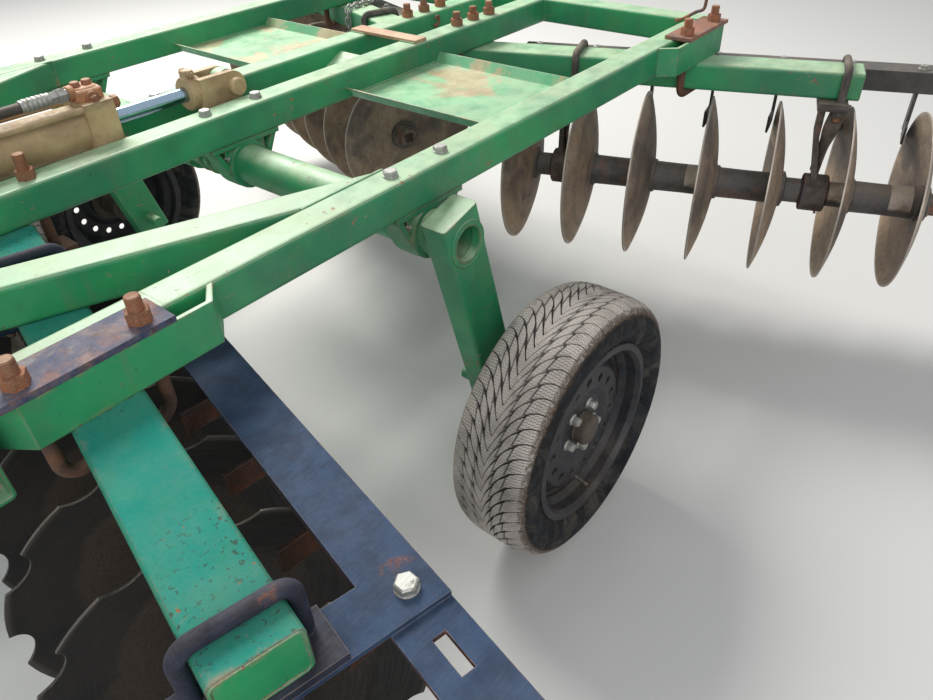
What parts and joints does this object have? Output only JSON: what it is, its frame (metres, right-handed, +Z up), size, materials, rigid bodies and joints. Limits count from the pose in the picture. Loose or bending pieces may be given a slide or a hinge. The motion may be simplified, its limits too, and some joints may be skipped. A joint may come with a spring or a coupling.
{
  "type": "disc harrow",
  "caption": "Wheel-carried tandem disc harrow with scalloped front and plain rear gangs, a square-tube frame, a hydraulic lifting shaft and a drawbar with a jack.",
  "frame": {"origin": "on the ground under the middle of the whole machine", "axes": "+X the way of travel, towards the hitch; +Y to the machine's left; +Z up"},
  "size_m": [3.581, 2.787, 0.9732],
  "materials": {
    "green_paint": "weathered satin",
    "black_paint": "dusty satin",
    "tan_paint": "weathered satin",
    "bare_steel": "dull, partly rusted",
    "rusty_steel": "rusted",
    "disc_steel": "earth-polished with rust",
    "spool_iron": "rough",
    "hub_iron": "rough",
    "rod_chrome": "polished",
    "tyre": "dusty",
    "hose_rubber": "matte"
  },
  "bodies": {
    "frame": {"outer_rail_left": "green_paint", "outer_rail_right": "green_paint", "centre_rail_left": "green_paint", "centre_rail_right": "green_paint", "front_cross_tube": "green_paint", "rear_cross_tube": "green_paint", "brace_left": "green_paint", "brace_right": "green_paint", "trays": "green_paint", "side_brackets": "green_paint", "beam_clamps": "rusty_steel", "centre_ties": "green_paint", "shaft_bearings": "green_paint", "cylinder_anchor": "green_paint", "hoses": "hose_rubber", "hose_couplers": "bare_steel", "drawbar_left": "green_paint", "drawbar_right": "green_paint", "drawbar_tie": "green_paint", "hitch_head": "green_paint", "jack_sleeve": "green_paint", "beam_front_left": "green_paint", "hangers_front_left": "bare_steel", "scrapers_front_left": "bare_steel", "beam_front_right": "green_paint", "hangers_front_right": "bare_steel", "scrapers_front_right": "bare_steel", "beam_rear_left": "green_paint", "hangers_rear_left": "bare_steel", "scrapers_rear_left": "bare_steel", "beam_rear_right": "green_paint", "hangers_rear_right": "bare_steel", "scrapers_rear_right": "bare_steel"},
    "jack": {"jack_leg": "bare_steel"},
    "lift_shaft": {"lifting_shaft": "green_paint", "wheel_arms": "green_paint", "lifting_lever": "green_paint"},
    "lift_barrel": {"cylinder_barrel": "tan_paint"},
    "lift_rod": {"cylinder_rod": "rod_chrome", "rod_clevis": "tan_paint"},
    "wheel_left": {"hub_left": "hub_iron", "rim_left": "black_paint", "tyre_left": "tyre"},
    "wheel_right": {"hub_right": "hub_iron", "rim_right": "black_paint", "tyre_right": "tyre"},
    "gang_front_left": {"discs_front_left": "disc_steel", "spools_front_left": "spool_iron"},
    "gang_front_right": {"discs_front_right": "disc_steel", "spools_front_right": "spool_iron"},
    "gang_rear_left": {"discs_rear_left": "disc_steel", "spools_rear_left": "spool_iron"},
    "gang_rear_right": {"discs_rear_right": "disc_steel", "spools_rear_right": "spool_iron"}
  },
  "joints": [
    {"name": "lift", "type": "hinge", "parent": "frame", "child": "lift_shaft", "pos_m": [-0.34954, 0, 0.732], "axis": [0, 1, 0], "range_deg": [0, 65]},
    {"name": "barrel_swing", "type": "hinge", "parent": "frame", "child": "lift_barrel", "pos_m": [0.30546, 0, 0.89], "axis": [0, -1, 0], "range_deg": [-0.5, 4.32]},
    {"name": "rod_stroke", "type": "slide", "parent": "lift_barrel", "child": "lift_rod", "axis": [0.9999, 0, 0.0121], "range_m": [-0.001, 0.16785]},
    {"name": "jack_slide", "type": "slide", "parent": "frame", "child": "jack", "axis": [0, 0, 1], "range_m": [-0.05, 0.28]},
    {"name": "wheel_left_spin", "type": "hinge", "parent": "lift_shaft", "child": "wheel_left", "pos_m": [-0.46196, 0.928, 0.298], "axis": [0, 1, 0], "continuous": true},
    {"name": "wheel_right_spin", "type": "hinge", "parent": "lift_shaft", "child": "wheel_right", "pos_m": [-0.46196, -0.928, 0.298], "axis": [0, 1, 0], "continuous": true},
    {"name": "gang_front_left_spin", "type": "hinge", "parent": "frame", "child": "gang_front_left", "pos_m": [0.21346, 0.222, 0.48], "axis": [0.2284, 0.9736, 0], "continuous": true},
    {"name": "gang_front_right_spin", "type": "hinge", "parent": "frame", "child": "gang_front_right", "pos_m": [0.21346, -0.222, 0.48], "axis": [-0.2284, 0.9736, 0], "continuous": true},
    {"name": "gang_rear_left_spin", "type": "hinge", "parent": "frame", "child": "gang_rear_left", "pos_m": [-1.19354, 0.297, 0.48], "axis": [-0.3322, 0.9432, 0], "continuous": true},
    {"name": "gang_rear_right_spin", "type": "hinge", "parent": "frame", "child": "gang_rear_right", "pos_m": [-1.19354, -0.297, 0.48], "axis": [0.3322, 0.9432, 0], "continuous": true}
  ],
  "couplings": [
    {"joint": "barrel_swing", "follows": "lift", "ratio": 0.058722},
    {"joint": "rod_stroke", "follows": "lift", "m_per_rad": 0.14707}
  ]
}
